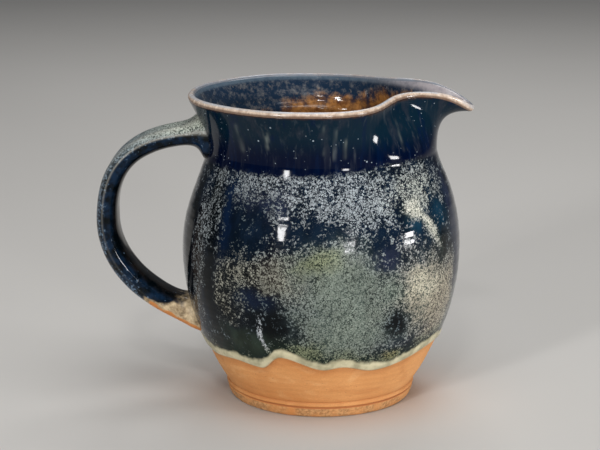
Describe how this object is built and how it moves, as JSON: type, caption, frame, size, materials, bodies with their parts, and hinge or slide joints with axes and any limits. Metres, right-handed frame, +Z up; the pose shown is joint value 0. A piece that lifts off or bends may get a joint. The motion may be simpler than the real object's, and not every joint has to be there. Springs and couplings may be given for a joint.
{
  "type": "ceramic pitcher",
  "caption": "Wheel-thrown stoneware pitcher with a round belly, a flared neck, a pinched pouring spout and a pulled strap handle, glazed blue over a bare clay foot.",
  "frame": {"origin": "centre of the foot ring's resting face, on the pitcher's turning axis", "axes": "+Z up along the turning axis, +X towards the tip of the spout, -X towards the handle"},
  "size_m": [0.2023, 0.1494, 0.1685],
  "materials": {
    "bare_clay": "bare fired stoneware, matt, fine sandy grain",
    "rim_clay": "clay showing through thin glaze that breaks over the lip",
    "slip": "fired slip",
    "speckled_glaze": "glossy navy glaze with pale grey-blue crystals",
    "cobalt_glaze": "glossy dark cobalt glaze",
    "liner_glaze": "glossy amber brown glaze, blue near the rim",
    "handle_glaze": "glossy navy glaze, speckled on its edges"
  },
  "bodies": {
    "root": {"foot_ring": "bare_clay", "body_wall": "bare_clay", "neck_and_spout": "rim_clay", "handle": "bare_clay", "upper_joint": "slip", "lower_joint": "slip", "belly_glaze": "speckled_glaze", "neck_glaze": "cobalt_glaze", "liner_glaze": "liner_glaze", "handle_glaze": "handle_glaze"}
  },
  "joints": []
}
